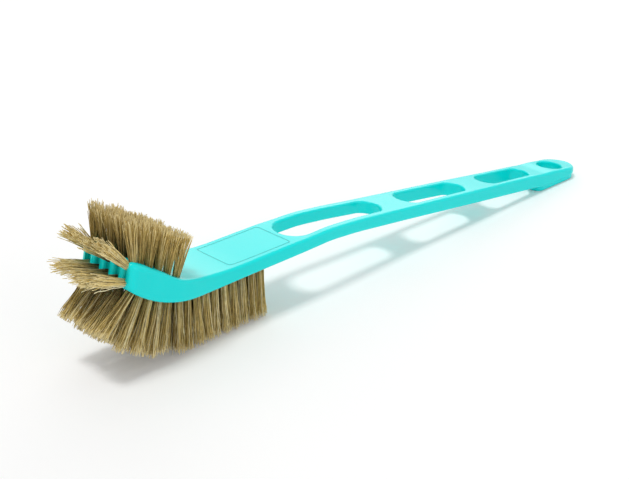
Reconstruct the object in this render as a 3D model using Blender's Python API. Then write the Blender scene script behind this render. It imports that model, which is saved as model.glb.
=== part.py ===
"""Curved toilet brush: one moulded handle and head, and the rows of fibre tufts that the head carries.

X runs from the nose of the head to the tail of the handle, Y across the brush and Z up from the floor
that the bristles and the tail rest on. Sizes are in metres and angles in degrees. A name that ends in
share or shares holds fractions of the size that it is used with.
"""

import math

import bmesh
import bpy
from mathutils import Vector

# Side view of the moulding
BODY_LENGTH = 0.3845
HEAD_HEIGHT = 0.0303
NOSE_LIFT = 0.021
NOSE_REACH = 0.078
NOSE_CURVE_POWER = 3.6
NOSE_LEAN = 0.0038
NOSE_LEAN_REACH = 0.030
FALL_ALONG_SHARES = (0.300, 0.360, 0.415, 0.480, 0.870, 0.915)
FALL_HEIGHT_SHARES = (1.00, 1.00, 0.945, 0.835, 0.150, 0.080)

# Upright thickness of the moulding along its length
NOSE_FRONT_THICKNESS = 0.0148
NOSE_THICKNESS = 0.0171
KNEE_THICKNESS = 0.0120
HEAD_THICKNESS = 0.0082
NECK_THICKNESS = 0.0077
GRIP_THICKNESS = 0.0081
WAIST_THICKNESS = 0.0090
TAIL_THICKNESS = 0.0092
TAIL_BACK_THICKNESS = 0.0067
TAIL_END_THICKNESS = 0.0047
NOSE_THICKNESS_ALONG_SHARES = (0.000, 0.026, 0.043, 0.098)
HANDLE_THICKNESS_ALONG_SHARES = (0.215, 0.290, 0.350, 0.520, 0.750, 0.905, 0.960, 1.000)

# Plan view of the moulding
HEAD_WIDTH = 0.0434
SHOULDER_WIDTH = 0.0380
HANDLE_WIDTH = 0.0363
TAIL_WIDTH = 0.0236
NOSE_CORNER_RADIUS = 0.0042
HEAD_ALONG_SHARES = (0.079, 0.150)
HANDLE_ALONG_SHARES = (0.220, 0.300, 0.480, 0.675, 0.870)
HANDLE_WIDTH_SHARES = (1.00, 0.985, 0.84, 0.75, 0.66)
EDGE_RADIUS = 0.0017
NOSE_EDGE_RADIUS = 0.0040
EDGE_STEPS = 2

# Slots of the handle and the hang hole
RAIL_WIDTHS = (0.0055, 0.0047, 0.0042)
SLOT_RIM_RADIUS = 0.0012
RIM_GROWTH_SHARES = (1.60, 0.30, 0.00)
RIM_HEIGHT_SHARES = (-0.30, 0.35, 1.00)
FIRST_SLOT_START = 0.1184
SLOT_WEB = 0.0202
HANG_HOLE_WEB = 0.0194
SLOT_LENGTH_SHARES = (0.438, 0.311, 0.251)
SLOT_FRONT_ROUNDS = (0.0110, 0.0070, 0.0065)
SLOT_BACK_ROUNDS = (0.0080, 0.0070, 0.0062)
HANG_HOLE_RADIUS = 0.0085
HANG_HOLE_BACK_WALL = 0.0111

# Foot under the tail, which stands on the floor
FOOT_START = 0.340
FOOT_INSET = 0.0008
FOOT_CORNER_RADIUS = 0.006
FOOT_SINK = 0.0026

# Ribbed front of the nose
GROOVE_WIDTH = 0.0028
GROOVE_DEPTH = 0.0026
RIB_SETBACK = 0.0004
RIB_STEPS = 6

# Tufts
COLUMNS = 5
EDGE_MARGIN = 0.0057
STRAND_OFFSET = 0.00078
STRAND_RADIUS = 0.00058
STRAND_TIP_RADIUS = 0.00045
STRAND_SPREAD = 0.0024
STRAND_SIDES = 3
STRANDS_ACROSS = 2

# Tufts under the head, which stand on the floor behind the fan
UNDER_ROWS = 15
UNDER_FIRST_ROW = 0.0045
UNDER_ROW_PITCH = 0.0066
UNDER_FAN_ANGLES = (-138, -121, -113, -106, -100, -95, -92)
UNDER_UPRIGHT_ANGLE = -90
UNDER_FAN_LENGTH_SHARES = (0.95, 1.02, 1.06, 1.05, 1.03, 1.01, 1.0)
FLOOR_CUT = 0.0005

# Tufts on top of the nose
TOP_ROWS = 5
TOP_FIRST_ROW = 0.0084
TOP_ROW_PITCH = 0.0067
TOP_BRISTLE_LENGTH = 0.0235
TOP_FIRST_ANGLE = 84
TOP_LAST_ANGLE = 68

# Tufts on the nose's front and crown
FRONT_ROW_HEIGHT_SHARE = 0.20
FRONT_ANGLE = 165
FRONT_BRISTLE_LENGTH = 0.0245
CROWN_FRONT_HEIGHT_SHARE = 0.62
CROWN_FRONT_ANGLE = 133
CROWN_FRONT_BRISTLE_LENGTH = 0.0235
CROWN_BACK_ROW = 0.0036
CROWN_BACK_ANGLE = 88
CROWN_SEAT_ANGLE = 72
FRONT_SEAT_DEPTH = 0.0013

# Slices of the head that the tufts are fused to
ROOT_DEPTH = 0.0006
SEAT_HALF_LENGTH = 0.0020
SEAT_DEPTH = 0.0016
SEAT_END_MARGIN = 0.0021
SEAT_GAP = 0.0003

# Overrun of every cutter, and the step of the slopes that are measured on the side view
OVERRUN = 0.006
SLOPE_STEP = 0.0005

# Steps of the round outlines and of the body's length
ROUND_STEPS = 6
TAIL_STEPS = 8
HANG_HOLE_STEPS = 14
NOSE_STATIONS = 16
BODY_STATIONS = 34

SMOOTH_ANGLE = math.radians(32)


# Smooth lines


def smooth_line(places, values, x):
    """The value at x on a smooth line through the values, which doesn't swing past them."""
    if x <= places[0]:
        return values[0]
    if x >= places[-1]:
        return values[-1]
    last = len(places) - 1
    rises = [(values[i + 1] - values[i]) / (places[i + 1] - places[i]) for i in range(last)]
    slopes = [0.0] * (last + 1)
    for i in range(1, last):
        if rises[i - 1] * rises[i] > 0:
            slopes[i] = 2 * rises[i - 1] * rises[i] / (rises[i - 1] + rises[i])
    i = max(k for k in range(last) if places[k] <= x)
    run = places[i + 1] - places[i]
    t = (x - places[i]) / run
    start = (1 + 2 * t) * (1 - t) ** 2 * values[i] + t * (1 - t) ** 2 * run * slopes[i]
    end = t * t * (3 - 2 * t) * values[i + 1] + t * t * (t - 1) * run * slopes[i + 1]
    return start + end


def along(shares):
    return [share * BODY_LENGTH for share in shares]


def underside(x):
    """Height of the underside over the floor at the distance x from the nose."""
    falls = smooth_line(along(FALL_ALONG_SHARES), FALL_HEIGHT_SHARES, x)
    rise = max(0.0, 1 - x / NOSE_REACH) ** NOSE_CURVE_POWER
    return HEAD_HEIGHT * falls + NOSE_LIFT * rise


def wall(x):
    """Upright thickness of the moulding at x."""
    sizes = (
        NOSE_FRONT_THICKNESS,
        NOSE_THICKNESS,
        NOSE_THICKNESS,
        KNEE_THICKNESS,
        HEAD_THICKNESS,
        HEAD_THICKNESS,
        NECK_THICKNESS,
        GRIP_THICKNESS,
        WAIST_THICKNESS,
        TAIL_THICKNESS,
        TAIL_BACK_THICKNESS,
        TAIL_END_THICKNESS,
    )
    places = along(NOSE_THICKNESS_ALONG_SHARES + HANDLE_THICKNESS_ALONG_SHARES)
    return smooth_line(places, sizes, x)


def tail_centre():
    return BODY_LENGTH - TAIL_WIDTH / 2


def side_half_width(x):
    """Half the width at x, before the nose's corners and the tail are rounded."""
    handle = [HANDLE_WIDTH * share for share in HANDLE_WIDTH_SHARES]
    widths = [HEAD_WIDTH, SHOULDER_WIDTH] + handle + [TAIL_WIDTH]
    places = along(HEAD_ALONG_SHARES + HANDLE_ALONG_SHARES) + [tail_centre()]
    return smooth_line(places, widths, x) / 2


def place(x, y, height):
    """The point over the plan point x, y at this height over the underside. The nose leans back."""
    lean = NOSE_LEAN * max(0.0, 1 - x / NOSE_LEAN_REACH)
    return Vector((x + lean * height / wall(x), y, underside(x) + height))


# Plan outlines, each given as its right half from front to back


def arc_angles(steps, first=0.0, last=math.pi / 2):
    return [first + (last - first) * i / steps for i in range(steps + 1)]


def stations():
    """Places along the body between its nose corner and its tail round, closer where the body bends."""
    found = []
    x = NOSE_CORNER_RADIUS
    while x < tail_centre():
        found.append(x)
        if x < NOSE_REACH:
            x += NOSE_REACH / NOSE_STATIONS
        else:
            x += BODY_LENGTH / BODY_STATIONS
    return found[1:-1]


def body_half():
    """The body's outline: straight across the nose, along its side and round the tail."""
    centre_y = HEAD_WIDTH / 2 - NOSE_CORNER_RADIUS
    corner = [
        (
            NOSE_CORNER_RADIUS * (1 - math.cos(a)),
            centre_y + NOSE_CORNER_RADIUS * math.sin(a),
        )
        for a in arc_angles(ROUND_STEPS // 2)
    ]
    side = [(x, side_half_width(x)) for x in stations()]
    end = tail_round(TAIL_WIDTH / 2, arc_angles(TAIL_STEPS)[:-1])
    return corner + side + end + [(BODY_LENGTH, 0.0)]


def tail_round(radius, angles):
    """Points round the middle of the tail. Their angles run from its side to its end."""
    centre = tail_centre()
    return [(centre + radius * math.sin(a), radius * math.cos(a)) for a in angles]


def foot_half():
    """The foot's outline: round corners in front, then the handle's side and tail a little inset.

    Its points round the tail lie halfway between the body's own.
    """
    radius = FOOT_CORNER_RADIUS
    side = side_half_width(FOOT_START + radius) - FOOT_INSET
    corner = [
        (FOOT_START + radius * (1 - math.cos(a)), side - radius * (1 - math.sin(a)))
        for a in arc_angles(ROUND_STEPS // 2)
    ]
    angles = arc_angles(TAIL_STEPS)
    halfway = [(first + last) / 2 for first, last in zip(angles, angles[1:])]
    return corner + tail_round(TAIL_WIDTH / 2 - FOOT_INSET, halfway)


def slot_spans():
    """Start and length of each slot: they share the handle up to the hang hole, with webs between."""
    count = len(SLOT_LENGTH_SHARES)
    end = hang_hole_centre() - HANG_HOLE_RADIUS - HANG_HOLE_WEB
    open_length = end - FIRST_SLOT_START - SLOT_WEB * (count - 1)
    spans = []
    start = FIRST_SLOT_START
    for share in SLOT_LENGTH_SHARES:
        spans.append((start, open_length * share))
        start += open_length * share + SLOT_WEB
    return spans


def slot_half(start, length, rail, front_round, back_round):
    """A slot's outline: it leaves a rail of even width each side, and its ends are round."""

    def half_width(x):
        return side_half_width(x) - rail

    points = [(start, 0.0)]
    for a in arc_angles(ROUND_STEPS)[1:]:
        x = start + front_round * (1 - math.cos(a))
        points.append((x, half_width(x) * math.sin(a)))
    straight = length - front_round - back_round
    middle = start + front_round + straight / 2
    points.append((middle, half_width(middle)))
    end = start + length
    for a in reversed(arc_angles(ROUND_STEPS)[1:]):
        x = end - back_round * (1 - math.cos(a))
        points.append((x, half_width(x) * math.sin(a)))
    return points + [(end, 0.0)]


def hang_hole_centre():
    return BODY_LENGTH - HANG_HOLE_BACK_WALL - HANG_HOLE_RADIUS


def hang_hole_half():
    centre = hang_hole_centre()
    inner = [
        (centre - HANG_HOLE_RADIUS * math.cos(a), HANG_HOLE_RADIUS * math.sin(a))
        for a in arc_angles(HANG_HOLE_STEPS, 0.0, math.pi)[1:-1]
    ]
    return [(centre - HANG_HOLE_RADIUS, 0.0)] + inner + [(centre + HANG_HOLE_RADIUS, 0.0)]


def outward(half):
    """The outline's outward direction at each point of its right half."""
    directions = []
    for i, (x, y) in enumerate(half):
        if y == 0.0:
            directions.append((-1.0 if i == 0 else 1.0, 0.0))
            continue
        before = half[i - 1] if i > 0 else (half[0][0], -half[0][1])
        after = half[i + 1]
        run = Vector((after[0] - before[0], after[1] - before[1])).normalized()
        directions.append((-run.y, run.x))
    return directions


# Solids


def new_object(name, mesh_builder):
    mesh = bpy.data.meshes.new(name)
    mesh_builder.to_mesh(mesh)
    mesh_builder.free()
    obj = bpy.data.objects.new(name, mesh)
    bpy.context.scene.collection.objects.link(obj)
    return obj


def draped(name, half, ladder, radius_at):
    """A solid between rings of one plan outline that are bent to the side view.

    Each rung of the ladder is the ring's growth in plan, the share of the wall that it lies at, and
    its height over that. The growth and the height are shares of the edge's radius at each place.
    """
    builder = bmesh.new()
    directions = outward(half)
    rings = []
    for growth_share, wall_share, rise_share in ladder:
        right = []
        left = []
        for (x, y), (out_x, out_y) in zip(half, directions):
            radius = radius_at(x, wall_share)
            plan_x = x + growth_share * radius * out_x
            plan_y = y + growth_share * radius * out_y
            height = wall(plan_x) * wall_share + rise_share * radius
            right.append(builder.verts.new(place(plan_x, plan_y, height)))
            if y == 0.0:
                left.append(right[-1])
            else:
                left.append(builder.verts.new(place(plan_x, -plan_y, height)))
        rings.append((right, left))
    for cap in (rings[0], rings[-1]):
        for i in range(len(half) - 1):
            corners = (cap[0][i], cap[0][i + 1], cap[1][i + 1], cap[1][i])
            builder.faces.new(list(dict.fromkeys(corners)))
    loops = [list(dict.fromkeys(right + left[::-1])) for right, left in rings]
    for lower, upper in zip(loops, loops[1:]):
        for i in range(len(lower)):
            j = (i + 1) % len(lower)
            builder.faces.new((lower[i], lower[j], upper[j], upper[i]))
    bmesh.ops.recalc_face_normals(builder, faces=builder.faces[:])
    return new_object(name, builder)


def edge_radius(x, wall_share):
    """Radius of the body's edges at x. The upper edge is rounder at the nose."""
    growth = (NOSE_EDGE_RADIUS - EDGE_RADIUS) * wall_share
    return EDGE_RADIUS + growth * max(0.0, 1 - x / NOSE_LEAN_REACH)


def rounded_ladder(steps):
    """Rungs of a solid whose lower and upper edges are rounded inwards."""
    angles = arc_angles(steps)
    lower = [(math.sin(a) - 1, 0, 1 - math.cos(a)) for a in angles]
    upper = [(growth, 1, -rise) for growth, _, rise in reversed(lower)]
    return lower + upper


def rim_rungs():
    """Rungs of a cutter that rounds the lower rim of its hole. It leaves the moulding at a slant."""
    rungs = [(growth, 0, rise) for growth, rise in zip(RIM_GROWTH_SHARES, RIM_HEIGHT_SHARES)]
    return [(rungs[0][0], 0, -OVERRUN / SLOT_RIM_RADIUS)] + rungs


def plain_rungs():
    """The lower end of a cutter that leaves its hole's lower rim sharp."""
    return [(0, 0, -OVERRUN / SLOT_RIM_RADIUS)]


def cutting_ladder(lower):
    """The whole cutter's rungs: the given lower end, and a rounded rim on top."""
    return lower + [(growth, 1, -rise) for growth, _, rise in reversed(rim_rungs())]


def cut_mesh(obj, tool, operation):
    """Runs one Boolean on the object, keeps its result and removes the tool."""
    modifier = obj.modifiers.new(operation, "BOOLEAN")
    modifier.operation = operation
    modifier.solver = "EXACT"
    modifier.object = tool
    graph = bpy.context.evaluated_depsgraph_get()
    mesh = bpy.data.meshes.new_from_object(obj.evaluated_get(graph))
    old = obj.data
    obj.modifiers.clear()
    obj.data = mesh
    mesh.name = old.name
    bpy.data.meshes.remove(old)
    used = tool.data
    bpy.data.objects.remove(tool)
    bpy.data.meshes.remove(used)


def prism(name, lower, upper):
    """A closed prism between two loops with as many points each."""
    builder = bmesh.new()
    rings = [[builder.verts.new(point) for point in loop] for loop in (lower, upper)]
    for ring in rings:
        builder.faces.new(ring)
    count = len(rings[0])
    for i in range(count):
        j = (i + 1) % count
        builder.faces.new((rings[0][i], rings[0][j], rings[1][j], rings[1][i]))
    bmesh.ops.recalc_face_normals(builder, faces=builder.faces[:])
    return new_object(name, builder)


# Moulding


def column_places(x):
    """Places across the head of the tufts of one row."""
    pitch = 2 * (side_half_width(x) - EDGE_MARGIN) / (COLUMNS - 1)
    middle = (COLUMNS - 1) / 2
    return [(i - middle) * pitch for i in range(COLUMNS)]


def groove_comb():
    """Cutter that leaves half-round upright ribs between the grooves of the nose's front."""
    places = column_places(0.0)
    half_groove = GROOVE_WIDTH / 2
    outer = places[-1] + half_groove
    back = [(-OVERRUN, -outer), (GROOVE_DEPTH, -outer)]
    for left, right in zip(places, places[1:]):
        centre = (left + right) / 2
        half_rib = (right - left) / 2 - half_groove
        for a in arc_angles(RIB_STEPS, 0.0, math.pi):
            depth = GROOVE_DEPTH - (GROOVE_DEPTH - RIB_SETBACK) * math.sin(a)
            back.append((depth, centre - half_rib * math.cos(a)))
    back += [(GROOVE_DEPTH, outer), (-OVERRUN, outer)]
    low = -OVERRUN
    high = wall(0.0) + OVERRUN
    loops = []
    for height in (low, high):
        foot = place(0.0, 0.0, height)
        loops.append([(foot.x + depth, y, foot.z) for depth, y in back])
    return prism("groove_comb", *loops)


def tail_foot():
    """Low foot that reaches from the floor into the tail."""
    half = foot_half()
    outline = half + [(x, -y) for x, y in reversed(half)]
    top = underside(BODY_LENGTH) + FOOT_SINK
    return prism("tail_foot", *[[(x, y, z) for x, y in outline] for z in (0.0, top)])


def moulded_body():
    body = draped("brush_body", body_half(), rounded_ladder(EDGE_STEPS), edge_radius)
    cut_mesh(body, tail_foot(), "UNION")
    slots = zip(slot_spans(), RAIL_WIDTHS, SLOT_FRONT_ROUNDS, SLOT_BACK_ROUNDS)
    cutters = [
        (slot_half(*span, rail, front, back), cutting_ladder(rim_rungs()))
        for span, rail, front, back in slots
    ]
    cutters.append((hang_hole_half(), cutting_ladder(plain_rungs())))
    for half, ladder in cutters:
        cutter = draped("slot_cutter", half, ladder, lambda x, wall_share: SLOT_RIM_RADIUS)
        cut_mesh(body, cutter, "DIFFERENCE")
    cut_mesh(body, groove_comb(), "DIFFERENCE")
    return body


# Rows of tufts


def heading(angle):
    """The direction at this angle in the side view: 0 is towards the tail and 90 is up."""
    return Vector((math.cos(math.radians(angle)), 0.0, math.sin(math.radians(angle))))


def surface_point(x, wall_share):
    return place(x, 0.0, wall(x) * wall_share)


def surface_heading(x, wall_share):
    """The outward direction of the underside or the top at x."""
    run = surface_point(x + SLOPE_STEP, wall_share) - surface_point(x - SLOPE_STEP, wall_share)
    out = Vector((-run.z, 0.0, run.x)).normalized()
    return out if wall_share > 0 else -out


def nose_heading():
    """The outward direction of the nose's front."""
    run = surface_point(0.0, 1) - surface_point(0.0, 0)
    return Vector((-run.z, 0.0, run.x)).normalized()


def surface_run(out):
    """The direction along a surface that faces out: towards the tail, or up on the nose's front."""
    run = Vector((out.z, 0.0, -out.x))
    return run if run.z > abs(run.x) or run.x > 0 else -run


def walk(x, distance, wall_share):
    """The station that lies this far along the surface from x, towards the tail."""
    left = distance
    while left > 0:
        step = min(left, SLOPE_STEP)
        run = surface_point(x + SLOPE_STEP, wall_share) - surface_point(x, wall_share)
        x += step * SLOPE_STEP / run.length
        left -= step
    return x


def seat_box(name, foot, out, ahead, behind, depth, half_span):
    """A block about a stretch of the head's surface: the slice's own, or the pocket's."""
    run = surface_run(out)
    across = Vector((0.0, half_span, 0.0))
    inner = foot - out * depth
    outer = foot + out * OVERRUN
    loops = []
    for end in (inner, outer):
        front = end - run * ahead
        back = end + run * behind
        loops.append((front - across, front + across, back + across, back - across))
    return prism(name, *loops)


def strand(builder, root, tip, root_radius, tip_radius, tip_plane):
    """One fibre bundle. Its tip is cut square, or level where it stands on the floor."""
    axis = (tip - root).normalized()
    side = Vector((0.0, 1.0, 0.0))
    front = axis.cross(side).normalized()
    rings = []
    for centre, radius in ((root, root_radius), (tip, tip_radius)):
        ring = []
        for i in range(STRAND_SIDES):
            a = 2 * math.pi * i / STRAND_SIDES
            point = centre + (front * math.cos(a) + side * math.sin(a)) * radius
            if tip_plane is not None and centre is tip:
                point += axis * ((tip_plane - point.z) / axis.z)
            ring.append(builder.verts.new(point))
        rings.append(ring)
    faces = [builder.faces.new(ring) for ring in rings]
    for i in range(STRAND_SIDES):
        j = (i + 1) % STRAND_SIDES
        faces.append(builder.faces.new((rings[0][i], rings[0][j], rings[1][j], rings[1][i])))
    bmesh.ops.recalc_face_normals(builder, faces=faces)


def add_tufts(builder, foot, out, x, angle, length):
    """The strands of one row of tufts, which stand on a surface that faces out and spread a little."""
    axis = heading(angle)
    side = Vector((0.0, 1.0, 0.0))
    run = surface_run(out)
    front = side.cross(axis)
    if front.dot(run) < 0:
        front = -front
    sink = ROOT_DEPTH / axis.dot(out)
    middle = (STRANDS_ACROSS - 1) / 2
    places = [(i - middle) * 2 for i in range(STRANDS_ACROSS)]
    for y in column_places(x):
        for along_share in places:
            for across_share in places:
                root = foot + side * y + (run * along_share + side * across_share) * STRAND_OFFSET
                away = (front * along_share + side * across_share) * STRAND_SPREAD
                tip = foot + side * y + axis * length + away
                root = root - axis * sink
                level = 0.0 if tip.z < FLOOR_CUT else None
                strand(builder, root, tip, STRAND_RADIUS, STRAND_TIP_RADIUS, level)


def tuft_row(name, body, seat, tufts):
    """One slice of the head with its tufts. The pocket that it leaves in the head is returned too."""
    slice_of_head = seat_box(name, *seat(0.0))
    cut_mesh(slice_of_head, body.copy_for_slice(), "INTERSECT")
    builder = bmesh.new()
    for tuft in tufts:
        add_tufts(builder, *tuft)
    cut_mesh(slice_of_head, new_object(name + "_strands", builder), "UNION")
    return slice_of_head, seat_box(name + "_pocket", *seat(SEAT_GAP))


class WholeBody:
    """The moulding before its pockets are cut, which each slice is taken from."""

    def __init__(self, obj):
        self.mesh = obj.data.copy()

    def copy_for_slice(self):
        obj = bpy.data.objects.new("whole_body", self.mesh.copy())
        bpy.context.scene.collection.objects.link(obj)
        return obj


def half_span(x, gap):
    return column_places(x)[-1] + SEAT_END_MARGIN + gap


def surface_seat(x, wall_share):
    """The slice under one row that stands on the underside or the top."""
    foot = surface_point(x, wall_share)
    out = surface_heading(x, wall_share)

    def seat(gap):
        reach = SEAT_HALF_LENGTH + gap
        return foot, out, reach, reach, SEAT_DEPTH + gap, half_span(x, gap)

    return seat


def under_rows():
    rows = []
    x = UNDER_FIRST_ROW
    for i in range(UNDER_ROWS):
        fan = i < len(UNDER_FAN_ANGLES)
        angle = UNDER_FAN_ANGLES[i] if fan else UNDER_UPRIGHT_ANGLE
        share = UNDER_FAN_LENGTH_SHARES[i] if fan else 1.0
        tufts = [(surface_point(x, 0), surface_heading(x, 0), x, angle, HEAD_HEIGHT * share)]
        rows.append((f"under_tuft_row_{i + 1:02d}", surface_seat(x, 0), tufts))
        x = walk(x, UNDER_ROW_PITCH, 0)
    return rows


def top_rows():
    rows = []
    x = TOP_FIRST_ROW
    for i in range(TOP_ROWS):
        angle = TOP_FIRST_ANGLE + (TOP_LAST_ANGLE - TOP_FIRST_ANGLE) * i / (TOP_ROWS - 1)
        tufts = [(surface_point(x, 1), surface_heading(x, 1), x, angle, TOP_BRISTLE_LENGTH)]
        rows.append((f"top_tuft_row_{i + 1}", surface_seat(x, 1), tufts))
        x = walk(x, TOP_ROW_PITCH, 1)
    return rows


def front_row():
    """The lower row of the nose's front, rooted in the grooves."""
    foot = surface_point(0.0, FRONT_ROW_HEIGHT_SHARE)
    foot.x += GROOVE_DEPTH
    out = nose_heading()

    def seat(gap):
        reach = SEAT_HALF_LENGTH + gap
        return foot, out, reach, reach, FRONT_SEAT_DEPTH + gap, half_span(0.0, gap)

    return "front_tuft_row", seat, [(foot, out, 0.0, FRONT_ANGLE, FRONT_BRISTLE_LENGTH)]


def crown_rows():
    """The two rows at the nose's upper corner, which share one slice."""
    front_foot = surface_point(0.0, CROWN_FRONT_HEIGHT_SHARE)
    front_foot.x += GROOVE_DEPTH
    back_foot = surface_point(CROWN_BACK_ROW, 1)
    out = surface_heading(CROWN_BACK_ROW, 1)
    seat_heading = heading(CROWN_SEAT_ANGLE)
    drop = (back_foot - front_foot).dot(seat_heading)

    def seat(gap):
        ahead = NOSE_FRONT_THICKNESS
        reach = SEAT_HALF_LENGTH + gap
        return back_foot, seat_heading, ahead, reach, drop + reach, half_span(0.0, gap)

    tufts = [
        (front_foot, nose_heading(), 0.0, CROWN_FRONT_ANGLE, CROWN_FRONT_BRISTLE_LENGTH),
        (back_foot, out, CROWN_BACK_ROW, CROWN_BACK_ANGLE, TOP_BRISTLE_LENGTH),
    ]
    return "crown_tuft_rows", seat, tufts


# Finishes


def finish(name, colour, roughness):
    material = bpy.data.materials.new(name)
    material.use_nodes = True
    shader = material.node_tree.nodes["Principled BSDF"]
    shader.inputs["Base Color"].default_value = colour
    shader.inputs["Roughness"].default_value = roughness
    shader.inputs["Metallic"].default_value = 0.0
    material.diffuse_color = colour
    return material


def dress(obj, material):
    obj.data.materials.clear()
    obj.data.materials.append(material)
    for polygon in obj.data.polygons:
        polygon.material_index = 0
    obj.data.shade_smooth()
    obj.data.set_sharp_from_angle(angle=SMOOTH_ANGLE)


def middle_of(objects):
    """Halfway between the first and last point along the brush."""
    places = [vertex.co.x for obj in objects for vertex in obj.data.vertices]
    return (min(places) + max(places)) / 2


def main():
    for obj in list(bpy.data.objects):
        bpy.data.objects.remove(obj)
    plastic = finish("turquoise_plastic", (0.05, 0.78, 0.74, 1.0), 0.32)
    fibre = finish("natural_fibre", (0.55, 0.44, 0.22, 1.0), 0.75)
    body = moulded_body()
    whole = WholeBody(body)
    rows = []
    for name, seat, tufts in under_rows() + top_rows() + [front_row(), crown_rows()]:
        row, pocket = tuft_row(name, whole, seat, tufts)
        cut_mesh(body, pocket, "DIFFERENCE")
        rows.append(row)
    bpy.data.meshes.remove(whole.mesh)
    dress(body, plastic)
    for row in rows:
        dress(row, fibre)
    stand = bpy.data.objects.new("toilet_brush", None)
    bpy.context.scene.collection.objects.link(stand)
    for obj in [body] + rows:
        obj.parent = stand
    stand.location.x = -middle_of([body] + rows)


main()
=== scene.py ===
import math

import bmesh
import bpy
from mathutils import Matrix, Vector


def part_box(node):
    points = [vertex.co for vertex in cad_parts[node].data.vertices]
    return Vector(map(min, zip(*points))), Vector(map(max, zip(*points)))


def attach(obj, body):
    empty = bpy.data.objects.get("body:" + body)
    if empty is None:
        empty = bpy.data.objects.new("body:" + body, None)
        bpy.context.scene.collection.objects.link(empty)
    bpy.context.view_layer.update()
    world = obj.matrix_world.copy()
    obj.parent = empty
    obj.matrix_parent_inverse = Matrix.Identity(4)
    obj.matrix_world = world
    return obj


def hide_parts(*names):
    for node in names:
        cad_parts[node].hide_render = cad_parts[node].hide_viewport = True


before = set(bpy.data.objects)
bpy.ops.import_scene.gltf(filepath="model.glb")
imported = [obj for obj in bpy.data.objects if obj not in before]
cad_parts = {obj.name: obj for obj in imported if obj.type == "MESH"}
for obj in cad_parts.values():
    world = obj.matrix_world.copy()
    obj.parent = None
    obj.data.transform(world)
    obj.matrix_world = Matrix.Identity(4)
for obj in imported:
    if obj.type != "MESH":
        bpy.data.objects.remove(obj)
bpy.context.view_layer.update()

# Side view of the moulding, as in the solids. HANDLE_FALL and WALLS are lines through points:
# a share of the body's length, and there the share of the head's height or the thickness
BODY_LENGTH = 0.3845
HEAD_HEIGHT = 0.0303
NOSE_LIFT = 0.021
NOSE_REACH = 0.078
NOSE_CURVE_POWER = 3.6
NOSE_LEAN = 0.0038
NOSE_LEAN_REACH = 0.030
HANDLE_FALL = (
    (0.300, 1.000),
    (0.360, 1.000),
    (0.415, 0.945),
    (0.480, 0.835),
    (0.870, 0.150),
    (0.915, 0.080),
)
WALLS = (
    (0.000, 0.0148),
    (0.026, 0.0171),
    (0.043, 0.0171),
    (0.098, 0.0120),
    (0.215, 0.0082),
    (0.290, 0.0082),
    (0.350, 0.0077),
    (0.520, 0.0081),
    (0.750, 0.0090),
    (0.905, 0.0092),
    (0.960, 0.0067),
    (1.000, 0.0047),
)

# Plan view of the moulding. WIDTHS has shares of the body's length and the width there
HEAD_WIDTH = 0.0434
HANDLE_WIDTH = 0.0363
TAIL_WIDTH = 0.0236
TAIL_CENTRE = BODY_LENGTH - TAIL_WIDTH / 2
WIDTHS = (
    (0.079, HEAD_WIDTH),
    (0.150, 0.0380),
    (0.220, HANDLE_WIDTH),
    (0.300, HANDLE_WIDTH * 0.985),
    (0.480, HANDLE_WIDTH * 0.84),
    (0.675, HANDLE_WIDTH * 0.75),
    (0.870, HANDLE_WIDTH * 0.66),
    (TAIL_CENTRE / BODY_LENGTH, TAIL_WIDTH),
)
NOSE_CORNER_RADIUS = 0.0042
EDGE_RADIUS = 0.0017
NOSE_EDGE_RADIUS = 0.0040

# How finely the rounds and the sides of the outlines are divided
NOSE_CORNER_STEPS = 8
TAIL_STEPS = 22
SLOT_STEPS = 14
HANG_HOLE_STEPS = 24
RIB_STEPS = 16
EDGE_STEPS = 6
FOOT_CORNER_STEPS = 10
FOOT_EDGE_STEPS = 4
NOSE_STATION = 0.0011
NOSE_STATIONS_END = 0.045
HANDLE_STATION = 0.0022
SLOT_STATION = 0.003
STATION_MARGIN = 0.001
ON_MIDDLE = 1e-9

# Slots and hang hole: front end, back end, rail beside it, round of each end
SLOTS = (
    (0.11840, 0.19645, 0.0055, 0.0110, 0.0080),
    (0.21665, 0.27207, 0.0047, 0.0070, 0.0070),
    (0.29227, 0.33700, 0.0042, 0.0065, 0.0062),
)
RIM_RADIUS = 0.0012
RIM_FLARE = 1.35
RIM_FLARE_DROP = 0.07
HANG_HOLE_CENTRE = 0.3649
HANG_HOLE_RADIUS = 0.0085

# Foot under the tail
FOOT_START = 0.340
FOOT_INSET = 0.0008
FOOT_CORNER_RADIUS = 0.006
FOOT_SINK = 0.0026
FOOT_EDGE_RADIUS = 0.0005

# Ribbed front of the nose
GROOVE_WIDTH = 0.0023
GROOVE_DEPTH = 0.0026
RIB_SETBACK = 0.0004

# Shading of the moulding
SHARP_ANGLE = 38
FACE_WEIGHT = 80

# Bare panel on the handle and the fine engraved line round it; the line's darker colour is painted
# shade
PANEL_CENTRE = 0.0925
PANEL_HALF_LENGTH = 0.0220
PANEL_HALF_WIDTH = 0.0139
PANEL_CORNER = 0.003
PANEL_OUTSIDE = 0.002
PANEL_LEVEL = 0.0340
LINE_HALF_WIDTH = 0.00040
LINE_DEPTH = 0.00022
SKIN_HEIGHT = 0.000006

# Colours
PLASTIC_DEEP = (0.000, 0.755, 0.740, 1.0)
PLASTIC_PALE = (0.002, 0.795, 0.780, 1.0)
# Painted shade: the darker colour inside the engraved line round the panel
PAINTED_SHADE_IN_LINE = (0.002, 0.400, 0.400, 1.0)
FIBRE_TONES = (
    (0.00, (0.210, 0.130, 0.030, 1.0)),
    (0.30, (0.620, 0.460, 0.145, 1.0)),
    (0.65, (0.960, 0.755, 0.290, 1.0)),
    (1.00, (1.000, 0.920, 0.590, 1.0)),
)
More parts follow.
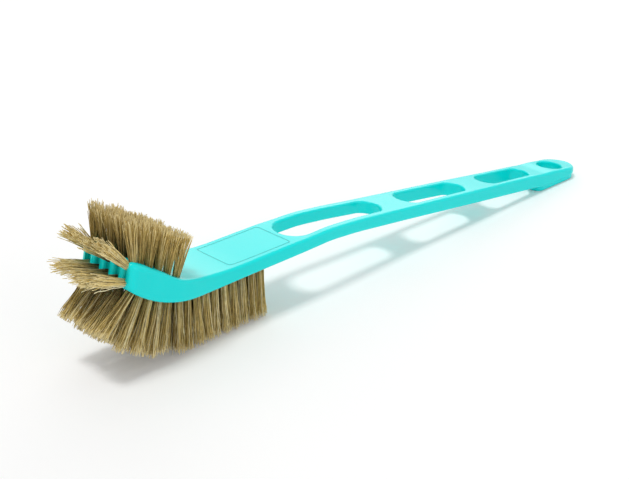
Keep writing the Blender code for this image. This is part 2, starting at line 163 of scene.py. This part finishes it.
# Dark tone for the random streaks, and for painted shade towards the roots and in the inner columns
FIBRE_STREAK_AND_PAINTED_SHADE = (0.160, 0.105, 0.035, 1.0)
FIBRE_TIP = (0.990, 0.860, 0.500, 1.0)
TIP_START = 0.93
FLOOR_PAINT = (0.96, 0.96, 0.955, 1.0)
WHITE = (1.0, 1.0, 1.0, 1.0)

# Tufts and their fibres
COLUMNS = 5
EDGE_MARGIN = 0.0057
ROOT_SINK = 0.0018
FIBRE_POINTS = 11
FIBRE_SIDES = 3
GOLDEN_ANGLE = 2.39996
COLUMN_TURN = 1.7
HALF_TURN = 3.1416
SCATTER = 0.16
FLARE_POWER = 1.25
KINK = 0.00022
BOW = 0.0012
LEAST_LEAN = 0.015
LEAN_BY_UNEVENNESS = 0.18
TIP_THINNING = 0.22

# Bundles of fibres: how many in one, its radius at root and tip, how uneven its tips are, one
# fibre's radius, and the tints of its darkest and its palest fibre
UNDER_TUFT = (84, 0.0019, 0.0028, 0.08, 0.00021, 0.05, 1.00)
FAN_TUFT = (80, 0.0020, 0.0034, 0.17, 0.00022, 0.00, 1.00)
FAN_ROWS = 6
TOP_TUFT = (66, 0.0017, 0.0038, 0.24, 0.00022, 0.16, 0.80)
# The front and crown-front tufts' tints start paler: painted light for the stronger light on the
# front of the head
FRONT_TUFT = (52, 0.0016, 0.0037, 0.26, 0.00027, 0.60, 1.00)

UNDER_ROWS = 15
UNDER_FIRST_ROW = 0.0045
UNDER_ROW_PITCH = 0.0066
UNDER_ANGLES = (-138, -121, -113, -106, -100, -95, -92)
UNDER_UPRIGHT_ANGLE = -90
UNDER_LENGTH_SHARES = (0.95, 1.02, 1.06, 1.05, 1.03, 1.01)
TOP_ROWS = 5
TOP_FIRST_ROW = 0.0084
TOP_ROW_PITCH = 0.0067
TOP_LENGTH = 0.0235
TOP_FIRST_ANGLE = 84
TOP_LAST_ANGLE = 68
FRONT_HEIGHT_SHARE = 0.11
FRONT_ANGLE = 165
FRONT_LENGTH = 0.0245
CROWN_FRONT_HEIGHT_SHARE = 0.62
CROWN_FRONT_ANGLE = 133
CROWN_FRONT_LENGTH = 0.0235
CROWN_BACK_ROW = 0.0036
CROWN_BACK_ANGLE = 88

# Step of a walk along the surface, and how far the cutters reach past it
STEP = 0.0005
OVERRUN = 0.006

# Floor and light
FLOOR_SIZE = 4.0
FLOOR_DROP = 0.0003
FLOOR_GLOW = 0.12
SKY_STRENGTH = 0.51
SKY_SEEN_MORE = 0.49

# Camera: its turn, tilt and roll in degrees, its place, and its focal length in pixels
CAMERA_TURN = 43.48
CAMERA_TILT = 24.72
CAMERA_ROLL = -0.49
CAMERA_PLACE = (-0.3560, -0.5292, 0.3608)
FOCAL_LENGTH = 1400
PICTURE_WIDTH = 629
SENSOR_WIDTH = 36.0

# From the moulding's own x, which is 0 at the nose, to the frame's
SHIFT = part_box("brush_body")[1].x - BODY_LENGTH


# Node trees


class Wire:
    """A socket that takes part in sums: each operator adds its Math node to the tree."""

    def __init__(self, tree, socket):
        self.tree = tree
        self.socket = socket

    def maths(self, operation, *values):
        links = dict(enumerate(values))
        return self.tree.add("ShaderNodeMath", {"operation": operation}, links)

    def __add__(self, other):
        return self.maths("ADD", self, other)

    def __radd__(self, other):
        return self.maths("ADD", other, self)

    def __sub__(self, other):
        return self.maths("SUBTRACT", self, other)

    def __rsub__(self, other):
        return self.maths("SUBTRACT", other, self)

    def __mul__(self, other):
        return self.maths("MULTIPLY", self, other)

    def __rmul__(self, other):
        return self.maths("MULTIPLY", other, self)

    def __truediv__(self, other):
        return self.maths("DIVIDE", self, other)

    def __pow__(self, other):
        return self.maths("POWER", self, other)

    def __gt__(self, other):
        return self.maths("GREATER_THAN", self, other)

    def __abs__(self):
        return self.maths("ABSOLUTE", self)


class Tree:
    """A node tree with one way to add a node.

    It takes the node's type, its settings, and the values or links of its sockets.
    """

    def __init__(self, nodes_and_links):
        self.tree = nodes_and_links

    def add(self, kind, settings=None, sockets=None, out=0):
        node = self.tree.nodes.new(kind)
        for name, value in (settings or {}).items():
            if name == "stops":
                while len(node.color_ramp.elements) < len(value):
                    node.color_ramp.elements.new(1.0)
                for stop, (place, colour) in zip(node.color_ramp.elements, value):
                    stop.position = place
                    stop.color = colour
            else:
                setattr(node, name, value)
        for name, value in (sockets or {}).items():
            if isinstance(value, Wire):
                self.tree.links.new(value.socket, node.inputs[name])
            else:
                node.inputs[name].default_value = value
        if not node.outputs:
            return node
        return Wire(self, node.outputs[out])


def finish(name):
    """A new material and its empty tree."""
    material = bpy.data.materials.new(name)
    material.use_nodes = True
    material.node_tree.nodes.clear()
    return material, Tree(material.node_tree)


# Finishes


def moulded_plastic():
    """Turquoise plastic with a satin skin, and the fine engraved line round the bare panel of the
    handle, darkened with painted shade.
    """
    material, tree = finish("turquoise_plastic_satin")
    place = tree.add("ShaderNodeTexCoord", out="Object")
    parts = tree.add("ShaderNodeSeparateXYZ", sockets={0: place}).socket.node
    x, y, z = (Wire(tree, socket) for socket in parts.outputs)

    along = abs(x - (SHIFT + PANEL_CENTRE)) - PANEL_HALF_LENGTH
    across = abs(y) - PANEL_HALF_WIDTH
    edge = along.maths("SMOOTH_MAX", along, across, PANEL_CORNER)
    off_line = abs(edge) / LINE_HALF_WIDTH
    line = 1 - off_line.maths("MINIMUM", off_line, 1.0)
    on_top = (z > PANEL_LEVEL) * along.maths("LESS_THAN", along, PANEL_OUTSIDE)
    groove = line * on_top

    cloud = tree.add("ShaderNodeTexNoise", sockets={"Vector": place, "Scale": 38.0, "Detail": 3.0})
    skin = tree.add("ShaderNodeTexNoise", sockets={"Vector": place, "Scale": 900.0, "Detail": 2.0})
    tone = tree.add(
        "ShaderNodeMix",
        {"data_type": "RGBA"},
        {0: cloud, 6: PLASTIC_DEEP, 7: PLASTIC_PALE},
        out=2,
    )
    # The engraved line is a real bump, and its darker colour is painted shade
    colour = tree.add(
        "ShaderNodeMix",
        {"data_type": "RGBA"},
        {0: groove * 0.8, 6: tone, 7: PAINTED_SHADE_IN_LINE},
        out=2,
    )
    height = skin * SKIN_HEIGHT - groove * LINE_DEPTH
    bump = tree.add("ShaderNodeBump", sockets={"Strength": 1.0, "Distance": 1.0, "Height": height})
    shader = tree.add(
        "ShaderNodeBsdfPrincipled",
        sockets={
            "Base Color": colour,
            "Roughness": cloud * 0.06 + 0.14,
            "IOR": 1.42,
            "Specular IOR Level": 0.34,
            "Normal": bump,
        },
    )
    tree.add("ShaderNodeOutputMaterial", sockets={"Surface": shader})
    return material


def natural_fibre():
    """Stiff plant fibre: each one has its own straw or brown tone and random darker streaks, and
    painted shade darkens it towards its root and in the inner columns of tufts.
    """
    material, tree = finish("natural_fibre_strands")
    tint = tree.add("ShaderNodeAttribute", {"attribute_name": "fibre_tint"}, out="Fac")
    rise = tree.add("ShaderNodeAttribute", {"attribute_name": "fibre_rise"}, out="Fac")
    shade = tree.add("ShaderNodeAttribute", {"attribute_name": "fibre_shade"}, out="Fac")
    tone = tree.add("ShaderNodeValToRGB", {"stops": FIBRE_TONES}, {0: tint})
    place = tree.add("ShaderNodeTexCoord", out="Object")
    streak = tree.add(
        "ShaderNodeTexNoise", sockets={"Vector": place, "Scale": 420.0, "Detail": 2.0}
    )
    # Painted shade towards the root and in the inner columns, mixed with random darker streaks
    depth = (1 - rise) ** 3.0 * 0.40 + shade * 0.75 + (streak - 0.32) * 0.70
    colour = tree.add(
        "ShaderNodeMix",
        {"data_type": "RGBA"},
        {0: depth, 6: tone, 7: FIBRE_STREAK_AND_PAINTED_SHADE},
        out=2,
    )
    colour = tree.add(
        "ShaderNodeMix",
        {"data_type": "RGBA"},
        {0: (rise > TIP_START) * 0.55, 6: colour, 7: FIBRE_TIP},
        out=2,
    )
    shader = tree.add(
        "ShaderNodeBsdfPrincipled",
        sockets={
            "Base Color": colour,
            "Roughness": streak * 0.2 + 0.38,
            "IOR": 1.45,
            "Specular IOR Level": 0.22,
        },
    )
    tree.add("ShaderNodeOutputMaterial", sockets={"Surface": shader})
    return material


# Smooth lines


def smooth_line(points, x):
    """The value at x on a smooth line through the points, which doesn't swing past them."""
    if x <= points[0][0]:
        return points[0][1]
    if x >= points[-1][0]:
        return points[-1][1]
    last = len(points) - 1
    rises = [(b[1] - a[1]) / (b[0] - a[0]) for a, b in zip(points, points[1:])]
    slopes = [0.0] * (last + 1)
    for i in range(1, last):
        if rises[i - 1] * rises[i] > 0:
            slopes[i] = 2 * rises[i - 1] * rises[i] / (rises[i - 1] + rises[i])
    i = max(k for k in range(last) if points[k][0] <= x)
    run = points[i + 1][0] - points[i][0]
    t = (x - points[i][0]) / run
    start = (1 + 2 * t) * (1 - t) ** 2 * points[i][1] + t * (1 - t) ** 2 * run * slopes[i]
    end = t * t * (3 - 2 * t) * points[i + 1][1] + t * t * (t - 1) * run * slopes[i + 1]
    return start + end


def underside(x):
    falls = smooth_line(HANDLE_FALL, x / BODY_LENGTH)
    rise = max(0.0, 1 - x / NOSE_REACH) ** NOSE_CURVE_POWER
    return HEAD_HEIGHT * falls + NOSE_LIFT * rise


def wall(x):
    return smooth_line(WALLS, x / BODY_LENGTH)


def side_half_width(x):
    return smooth_line(WIDTHS, x / BODY_LENGTH) / 2


def place(x, y, height):
    """The point over the plan point x, y at this height over the underside. The nose leans back."""
    lean = NOSE_LEAN * max(0.0, 1 - x / NOSE_LEAN_REACH)
    return Vector((x + SHIFT + lean * height / wall(x), y, underside(x) + height))


# Moulding


def arc(steps, last=math.pi / 2):
    return [last * i / steps for i in range(steps + 1)]


def body_half():
    """The body's outline: straight across the nose, along its side and round the tail."""
    centre_y = HEAD_WIDTH / 2 - NOSE_CORNER_RADIUS
    radius = NOSE_CORNER_RADIUS
    angles = arc(NOSE_CORNER_STEPS)
    half = [(radius * (1 - math.cos(a)), centre_y + radius * math.sin(a)) for a in angles]
    x = radius + STATION_MARGIN
    while x < TAIL_CENTRE - STATION_MARGIN:
        half.append((x, side_half_width(x)))
        x += NOSE_STATION if x < NOSE_STATIONS_END else HANDLE_STATION
    return half + tail_round(TAIL_WIDTH / 2, arc(TAIL_STEPS)[:-1]) + [(BODY_LENGTH, 0.0)]


def tail_round(radius, angles):
    """Points round the middle of the tail. Their angles run from its side to its end."""
    return [(TAIL_CENTRE + radius * math.sin(a), radius * math.cos(a)) for a in angles]


def slot_half(front, back, rail, front_round, back_round):
    """A slot's outline: it leaves a rail of even width each side, and its ends are round."""
    half = []
    for a in arc(SLOT_STEPS):
        x = front + front_round * (1 - math.cos(a))
        half.append((x, (side_half_width(x) - rail) * math.sin(a)))
    x = front + front_round + SLOT_STATION
    while x < back - back_round - STATION_MARGIN:
        half.append((x, side_half_width(x) - rail))
        x += SLOT_STATION
    for a in reversed(arc(SLOT_STEPS)):
        x = back - back_round * (1 - math.cos(a))
        half.append((x, (side_half_width(x) - rail) * math.sin(a)))
    return half


def hang_hole_half():
    radius = HANG_HOLE_RADIUS
    turns = arc(HANG_HOLE_STEPS, math.pi)
    half = [(HANG_HOLE_CENTRE - radius * math.cos(a), radius * math.sin(a)) for a in turns]
    return half[:-1] + [(HANG_HOLE_CENTRE + radius, 0.0)]


def tail_foot():
    """Low foot that reaches from the floor into the tail. Its lower edge has a small round."""
    radius = FOOT_CORNER_RADIUS
    side = side_half_width(FOOT_START + radius) - FOOT_INSET
    half = [
        (FOOT_START + radius * (1 - math.cos(a)), side - radius * (1 - math.sin(a)))
        for a in arc(FOOT_CORNER_STEPS)
    ]
    half_step = math.pi / (4 * TAIL_STEPS)
    angles = [a + half_step for a in arc(TAIL_STEPS)[:-1]]
    half += tail_round(TAIL_WIDTH / 2 - FOOT_INSET, angles)
    rungs = [(math.sin(a) - 1, 1 - math.cos(a)) for a in arc(FOOT_EDGE_STEPS)]
    levels = [(growth * FOOT_EDGE_RADIUS, rise * FOOT_EDGE_RADIUS) for growth, rise in rungs]
    levels.append((0.0, underside(BODY_LENGTH) + FOOT_SINK))
    rings = []
    for growth, z in levels:
        right = [
            (x + SHIFT + growth * out_x, y + growth * out_y, z)
            for (x, y), (out_x, out_y) in zip(half, outward(half))
        ]
        rings.append(right + [(x, -y, z) for x, y, z in reversed(right)])
    return stacked("tail_foot", rings)


def outward(half):
    """The direction away from the outline at each of its points."""
    directions = []
    for i, (x, y) in enumerate(half):
        if y < ON_MIDDLE:
            directions.append((-1.0 if i == 0 else 1.0, 0.0))
            continue
        before = half[i - 1] if i > 0 else (half[0][0], -half[0][1])
        after = half[i + 1] if i + 1 < len(half) else (x, -y)
        run = Vector((after[0] - before[0], after[1] - before[1])).normalized()
        directions.append((-run.y, run.x))
    return directions


def draped(name, half, ladder, radius_at):
    """A solid between rings of one plan outline that are bent to the side view.

    Each rung of the ladder is the ring's growth in plan, the share of the wall that it lies at, and
    its height over that. The growth and the height are shares of the edge's radius at each place.
    """
    builder = bmesh.new()
    rings = []
    for growth_share, wall_share, rise_share in ladder:
        right = []
        left = []
        for (x, y), (out_x, out_y) in zip(half, outward(half)):
            radius = radius_at(x, wall_share)
            plan_x = x + growth_share * radius * out_x
            plan_y = y + growth_share * radius * out_y
            height = wall(plan_x) * wall_share + rise_share * radius
            right.append(builder.verts.new(place(plan_x, plan_y, height)))
            left.append(
                right[-1] if y < ON_MIDDLE else builder.verts.new(place(plan_x, -plan_y, height))
            )
        rings.append((right, left))
    for cap in (rings[0], rings[-1]):
        for i in range(len(half) - 1):
            corners = (cap[0][i], cap[0][i + 1], cap[1][i + 1], cap[1][i])
            builder.faces.new(list(dict.fromkeys(corners)))
    loops = [list(dict.fromkeys(right + left[::-1])) for right, left in rings]
    return walled(name, builder, loops)


def stacked(name, rings):
    """A closed solid through a stack of rings with as many points each."""
    builder = bmesh.new()
    loops = [[builder.verts.new(point) for point in ring] for ring in rings]
    builder.faces.new(loops[0])
    builder.faces.new(loops[-1])
    return walled(name, builder, loops)


def walled(name, builder, loops):
    """The solid, once its side faces join each ring to the next."""
    for lower, upper in zip(loops, loops[1:]):
        for i in range(len(lower)):
            j = (i + 1) % len(lower)
            builder.faces.new((lower[i], lower[j], upper[j], upper[i]))
    bmesh.ops.recalc_face_normals(builder, faces=builder.faces[:])
    return new_object(name, builder)


def new_object(name, builder):
    mesh = bpy.data.meshes.new(name)
    builder.to_mesh(mesh)
    builder.free()
    piece = bpy.data.objects.new(name, mesh)
    bpy.context.scene.collection.objects.link(piece)
    return piece


def settle(piece):
    """Turns the piece, as its modifiers leave it, into a plain mesh."""
    graph = bpy.context.evaluated_depsgraph_get()
    mesh = bpy.data.meshes.new_from_object(piece.evaluated_get(graph), depsgraph=graph)
    old = piece.data
    piece.modifiers.clear()
    piece.data = mesh
    name = old.name
    bpy.data.meshes.remove(old)
    mesh.name = name


def cut(piece, tool, operation="DIFFERENCE"):
    modifier = piece.modifiers.new("cut", "BOOLEAN")
    modifier.operation = operation
    modifier.solver = "EXACT"
    modifier.object = tool
    settle(piece)
    bpy.data.objects.remove(tool)


def edge_radius(x, wall_share):
    growth = (NOSE_EDGE_RADIUS - EDGE_RADIUS) * wall_share
    return EDGE_RADIUS + growth * max(0.0, 1 - x / NOSE_LEAN_REACH)


def column_places(x):
    """Where the columns of tufts stand across the head."""
    pitch = 2 * (side_half_width(x) - EDGE_MARGIN) / (COLUMNS - 1)
    return [(i - (COLUMNS - 1) / 2) * pitch for i in range(COLUMNS)]


def groove_comb():
    """Cutter that leaves half-round upright ribs between the grooves of the nose's front."""
    places = column_places(0.0)
    half_groove = GROOVE_WIDTH / 2
    outer = places[-1] + half_groove
    back = [(-OVERRUN, -outer), (GROOVE_DEPTH, -outer)]
    for left, right in zip(places, places[1:]):
        centre = (left + right) / 2
        half_rib = (right - left) / 2 - half_groove
        for a in arc(RIB_STEPS, math.pi):
            depth = GROOVE_DEPTH - (GROOVE_DEPTH - RIB_SETBACK) * math.sin(a)
            back.append((depth, centre - half_rib * math.cos(a)))
    back += [(GROOVE_DEPTH, outer), (-OVERRUN, outer)]
    rings = []
    for height in (-OVERRUN, wall(0.0) + OVERRUN):
        foot = place(0.0, 0.0, height)
        rings.append([(foot.x + depth, y, foot.z) for depth, y in back])
    return stacked("groove_comb", rings)


def moulding(material):
    """The one-piece head and handle, with rounded edges, slots, hang hole and ribbed nose."""
    lower = [(math.sin(a) - 1, 0, 1 - math.cos(a)) for a in arc(EDGE_STEPS)]
    upper = [(growth, 1, -rise) for growth, _, rise in reversed(lower)]
    piece = draped("moulded_head_and_handle", body_half(), lower + upper, edge_radius)
    cut(piece, tail_foot(), "UNION")
    rim = [(RIM_FLARE, 0, -RIM_FLARE_DROP)]
    rim += [(1 - math.sin(a), 0, 1 - math.cos(a)) for a in arc(EDGE_STEPS)[1:]]
    rim.insert(0, (rim[0][0], 0, -OVERRUN / RIM_RADIUS))
    upper_rim = [(growth, 1, -rise) for growth, _, rise in reversed(rim)]
    holes = [(slot_half(*slot), rim) for slot in SLOTS]
    holes.append((hang_hole_half(), [(0, 0, -OVERRUN / RIM_RADIUS)]))
    for half, lower_rim in holes:
        ladder = lower_rim + upper_rim
        cut(piece, draped("slot_cutter", half, ladder, lambda x, wall_share: RIM_RADIUS))
    cut(piece, groove_comb())
    piece.data.shade_smooth()
    piece.data.set_sharp_from_angle(angle=math.radians(SHARP_ANGLE))
    weigh = piece.modifiers.new("even_shading", "WEIGHTED_NORMAL")
    weigh.keep_sharp = True
    weigh.weight = FACE_WEIGHT
    settle(piece)
    piece.data.materials.clear()
    piece.data.materials.append(material)
    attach(piece, "root")
    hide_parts("brush_body")


# Tufts


def tuft_row_tree():
    """Tree for one row of tufts: bundles of thin bowed fibres that spread to their tips."""
    tree = bpy.data.node_groups.new("tuft_row", "GeometryNodeTree")
    made = Tree(tree)
    kinds = {
        "Tufts": "NodeSocketInt",
        "Fibres": "NodeSocketInt",
        "Seed": "NodeSocketInt",
        "Foot X": "NodeSocketFloat",
        "Foot Z": "NodeSocketFloat",
        "Pitch": "NodeSocketFloat",
        "Angle": "NodeSocketFloat",
        "Length": "NodeSocketFloat",
        "Sink": "NodeSocketFloat",
        "Root Radius": "NodeSocketFloat",
        "Tip Radius": "NodeSocketFloat",
        "Fibre Radius": "NodeSocketFloat",
        "Bow": "NodeSocketFloat",
        "Unevenness": "NodeSocketFloat",
        "Darkest Tint": "NodeSocketFloat",
        "Palest Tint": "NodeSocketFloat",
        "Reach Beside": "NodeSocketFloat",
        "Finish": "NodeSocketMaterial",
    }
    for name, kind in kinds.items():
        tree.interface.new_socket(name=name, in_out="INPUT", socket_type=kind)
    tree.interface.new_socket(name="Row", in_out="OUTPUT", socket_type="NodeSocketGeometry")
    given = made.add("NodeGroupInput").socket.node
    size = {name: Wire(made, given.outputs[name]) for name in kinds}

    line = made.add("GeometryNodeCurvePrimitiveLine", sockets={1: (0.0, 0.0, 1.0)})
    line = made.add(
        "GeometryNodeResampleCurve", {"mode": "COUNT"}, {0: line, "Count": FIBRE_POINTS}
    )
    copies = made.add(
        "GeometryNodeDuplicateElements",
        {"domain": "SPLINE"},
        {0: line, "Amount": size["Tufts"] * size["Fibres"]},
    )
    index = Wire(made, copies.socket.node.outputs["Duplicate Index"])

    def chance(order, low=-1.0, high=1.0, of=index):
        return made.add(
            "FunctionNodeRandomValue",
            {"data_type": "FLOAT"},
            {2: low, 3: high, 7: of, 8: size["Seed"] + order},
            out=1,
        )

    t = made.add("GeometryNodeSplineParameter")
    column = index / size["Fibres"]
    column = column.maths("FLOOR", column)
    number = index - column * size["Fibres"]
    share = ((number + 0.5) / size["Fibres"]) ** 0.5
    turn = number * GOLDEN_ANGLE + column * COLUMN_TURN
    ahead = share * turn.maths("COSINE", turn) + chance(1) * SCATTER
    beside = share * turn.maths("SINE", turn) + chance(2) * SCATTER

    flare = size["Root Radius"] + (size["Tip Radius"] - size["Root Radius"]) * t ** FLARE_POWER
    stray = (chance(3, 0.0, 1.0) ** 6.0) * 1.2
    phase = t * chance(10, 5.0, 17.0) + chance(4) * HALF_TURN
    wave = phase.maths("SINE", phase)
    kink = wave * t * KINK
    bow_ahead = size["Bow"] * t * t * chance(5) * (1.0 + stray) + kink
    bow_beside = size["Bow"] * t * t * chance(6) * (1.0 + stray) - kink
    lean = size["Length"] * t * (LEAST_LEAN + size["Unevenness"] * LEAN_BY_UNEVENNESS)
    forward = ahead * flare + bow_ahead + lean * chance(11, of=column)
    sideways = beside * flare + bow_beside + lean * 0.5 * chance(12, of=column)
    cut_back = 1 - size["Unevenness"] * chance(7, 0.0, 1.0) ** 2.0
    cut_back = cut_back * (1 - size["Unevenness"] * chance(13, 0.0, 0.4, of=column))
    reach = (size["Length"] * cut_back + size["Sink"]) * t - size["Sink"]

    cosine = size["Angle"].maths("COSINE", size["Angle"])
    sine = size["Angle"].maths("SINE", size["Angle"])
    x = size["Foot X"] + cosine * reach - sine * forward
    z = size["Foot Z"] + sine * reach + cosine * forward
    y = (column - (size["Tufts"] - 1) * 0.5) * size["Pitch"] + sideways
    y = y.maths("MINIMUM", y, size["Reach Beside"])
    y = y.maths("MAXIMUM", y, -1 * size["Reach Beside"])
    z = z.maths("MAXIMUM", z, size["Fibre Radius"] * 1.1)
    point = made.add("ShaderNodeCombineXYZ", sockets={0: x, 1: y, 2: z})
    laid = made.add("GeometryNodeSetPosition", sockets={0: copies, "Position": point})
    tint = chance(8, size["Darkest Tint"], size["Palest Tint"])
    # Painted shade: the fibres of the inner columns get darker towards their roots
    off_centre = abs(column - (size["Tufts"] - 1) * 0.5)
    inner = (size["Tufts"] - 1) * 0.5 - off_centre > 0.5
    shade = inner * (1 - t) ** 1.4
    for name, value in (("fibre_tint", tint), ("fibre_rise", t), ("fibre_shade", shade)):
        laid = made.add(
            "GeometryNodeStoreNamedAttribute",
            {"data_type": "FLOAT", "domain": "POINT"},
            {0: laid, "Name": name, "Value": value},
        )
    ring = made.add(
        "GeometryNodeCurvePrimitiveCircle",
        {"mode": "RADIUS"},
        {"Resolution": FIBRE_SIDES, "Radius": 1.0},
    )
    thickness = size["Fibre Radius"] * (1 - TIP_THINNING * t) * chance(9, 0.72, 1.25)
    fibres = made.add(
        "GeometryNodeCurveToMesh",
        sockets={0: laid, "Profile Curve": ring, "Scale": thickness, "Fill Caps": True},
    )
    fibres = made.add("GeometryNodeSetShadeSmooth", sockets={0: fibres, "Shade Smooth": True})
    fibres = made.add("GeometryNodeRealizeInstances", sockets={0: fibres})
    fibres = made.add("GeometryNodeSetMaterial", sockets={0: fibres, "Material": size["Finish"]})
    made.add("NodeGroupOutput", sockets={0: fibres})
    return tree


def tuft_row(name, node, tree, material, seed, foot, x, angle, length, bundle):
    """One row of tufts as a plain mesh, in place of its node."""
    piece = bpy.data.objects.new(name, bpy.data.meshes.new(name))
    bpy.context.scene.collection.objects.link(piece)
    modifier = piece.modifiers.new("tufts", "NODES")
    modifier.node_group = tree
    fibres, root_radius, tip_radius, unevenness, fibre_radius, darkest, palest = bundle
    values = {
        "Tufts": COLUMNS,
        "Fibres": fibres,
        "Seed": seed * 20,
        "Foot X": foot.x,
        "Foot Z": foot.z,
        "Pitch": column_places(x)[1] - column_places(x)[0],
        "Angle": math.radians(angle),
        "Length": length,
        "Sink": ROOT_SINK,
        "Root Radius": root_radius,
        "Tip Radius": tip_radius,
        "Fibre Radius": fibre_radius,
        "Bow": BOW,
        "Unevenness": unevenness,
        "Darkest Tint": darkest,
        "Palest Tint": palest,
        "Reach Beside": HEAD_WIDTH / 2,
        "Finish": material,
    }
    for item in tree.interface.items_tree:
        if item.in_out == "INPUT":
            modifier[item.identifier] = values[item.name]
    settle(piece)
    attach(piece, "root")
    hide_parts(node)


def surface_point(x, wall_share):
    return place(x, 0.0, wall(x) * wall_share)


def walk(x, distance, wall_share):
    """The station that lies this far along the surface from x, towards the tail."""
    left = distance
    while left > 0:
        step = min(left, STEP)
        run = surface_point(x + STEP, wall_share) - surface_point(x, wall_share)
        x += step * STEP / run.length
        left -= step
    return x


def all_tufts(material):
    """Every row of tufts: under the head, on top of the nose, at its front and its crown."""
    tree = tuft_row_tree()
    rows = []
    x = UNDER_FIRST_ROW
    for i in range(UNDER_ROWS):
        angle = UNDER_ANGLES[i] if i < len(UNDER_ANGLES) else UNDER_UPRIGHT_ANGLE
        share = UNDER_LENGTH_SHARES[i] if i < len(UNDER_LENGTH_SHARES) else 1.0
        node = f"under_tuft_row_{i + 1:02d}"
        bundle = FAN_TUFT if i < FAN_ROWS else UNDER_TUFT
        rows.append((node, surface_point(x, 0), x, angle, HEAD_HEIGHT * share, bundle))
        x = walk(x, UNDER_ROW_PITCH, 0)
    x = TOP_FIRST_ROW
    for i in range(TOP_ROWS):
        angle = TOP_FIRST_ANGLE + (TOP_LAST_ANGLE - TOP_FIRST_ANGLE) * i / (TOP_ROWS - 1)
        node = f"top_tuft_row_{i + 1}"
        rows.append((node, surface_point(x, 1), x, angle, TOP_LENGTH, TOP_TUFT))
        x = walk(x, TOP_ROW_PITCH, 1)
    groove = Vector((GROOVE_DEPTH, 0.0, 0.0))
    lower = surface_point(0.0, FRONT_HEIGHT_SHARE) + groove
    upper = surface_point(0.0, CROWN_FRONT_HEIGHT_SHARE) + groove
    crown = surface_point(CROWN_BACK_ROW, 1)
    rows += [
        ("front_tuft_row", lower, 0.0, FRONT_ANGLE, FRONT_LENGTH, FRONT_TUFT),
        ("crown_front", upper, 0.0, CROWN_FRONT_ANGLE, CROWN_FRONT_LENGTH, FRONT_TUFT),
        ("crown_back", crown, CROWN_BACK_ROW, CROWN_BACK_ANGLE, TOP_LENGTH, TOP_TUFT),
    ]
    for seed, (name, *where) in enumerate(rows):
        node = "crown_tuft_rows" if name.startswith("crown") else name
        tuft_row(name + "_fibres", node, tree, material, seed, *where)


# Floor, light and camera


def floor_and_world():
    """A plain pale floor under an even white sky."""
    material, tree = finish("pale_floor")
    ray = tree.add("ShaderNodeLightPath").socket.node
    seen = Wire(tree, ray.outputs["Is Camera Ray"])
    paint = tree.add("ShaderNodeBsdfDiffuse", sockets={"Color": FLOOR_PAINT})
    glow = tree.add("ShaderNodeEmission", sockets={"Color": WHITE, "Strength": 1.0})
    shader = tree.add("ShaderNodeMixShader", sockets={0: seen * FLOOR_GLOW, 1: paint, 2: glow})
    tree.add("ShaderNodeOutputMaterial", sockets={"Surface": shader})
    builder = bmesh.new()
    bmesh.ops.create_grid(builder, x_segments=1, y_segments=1, size=FLOOR_SIZE)
    bmesh.ops.translate(builder, verts=builder.verts, vec=(0.0, 0.0, -FLOOR_DROP))
    floor = new_object("floor", builder)
    floor.data.materials.append(material)

    world = bpy.data.worlds.new("studio")
    bpy.context.scene.world = world
    world.use_nodes = True
    world.node_tree.nodes.clear()
    tree = Tree(world.node_tree)
    ray = tree.add("ShaderNodeLightPath").socket.node
    seen, glossy, through = (
        Wire(tree, ray.outputs[name])
        for name in ("Is Camera Ray", "Is Glossy Ray", "Is Transmission Ray")
    )
    shown = seen.maths("MAXIMUM", seen.maths("MAXIMUM", seen, glossy), through)
    strength = shown * SKY_SEEN_MORE + SKY_STRENGTH
    light = tree.add("ShaderNodeBackground", sockets={"Color": WHITE, "Strength": strength})
    tree.add("ShaderNodeOutputWorld", sockets={"Surface": light})


def lamp(name, kind, power, where, **settings):
    """A lamp that faces the middle of the brush."""
    data = bpy.data.lights.new(name, kind)
    data.energy = power
    for setting, value in settings.items():
        setattr(data, setting, value)
    piece = bpy.data.objects.new(name, data)
    piece.location = where
    piece.rotation_euler = (-Vector(where)).to_track_quat("-Z", "Y").to_euler()
    bpy.context.scene.collection.objects.link(piece)


def camera():
    """The photograph's viewpoint, fitted to the edges of the handle at a chosen focal length."""
    turn, tilt, roll = (math.radians(a) for a in (CAMERA_TURN, CAMERA_TILT, CAMERA_ROLL))
    ahead = Vector(
        (math.sin(turn) * math.cos(tilt), math.cos(turn) * math.cos(tilt), -math.sin(tilt))
    )
    right = Vector((math.cos(turn), -math.sin(turn), 0.0))
    up = right.cross(ahead)
    right, up = (
        math.cos(roll) * right + math.sin(roll) * up,
        math.cos(roll) * up - math.sin(roll) * right,
    )
    data = bpy.data.cameras.new("photo_view")
    data.sensor_width = SENSOR_WIDTH
    data.lens = FOCAL_LENGTH * SENSOR_WIDTH / PICTURE_WIDTH
    data.clip_start, data.clip_end = 0.01, 50.0
    piece = bpy.data.objects.new("photo_view", data)
    turned = Matrix((right, up, -ahead)).transposed().to_4x4()
    x, y, z = CAMERA_PLACE
    piece.matrix_world = Matrix.Translation((x + SHIFT, y, z)) @ turned
    bpy.context.scene.collection.objects.link(piece)
    bpy.context.scene.camera = piece


moulding(moulded_plastic())
all_tufts(natural_fibre())
floor_and_world()
lamp("overhead_key", "SUN", 1.36, (-0.48, 0.05, 1.6), angle=math.radians(15))
lamp("back_softbox", "AREA", 8.0, (1.05, 1.10, 0.80), shape="RECTANGLE", size=2.0, size_y=1.0)
lamp("front_softbox", "AREA", 2.9, (-0.10, -1.35, 0.55), shape="RECTANGLE", size=1.2, size_y=0.7)
camera()
bpy.context.scene.view_settings.view_transform = "Standard"
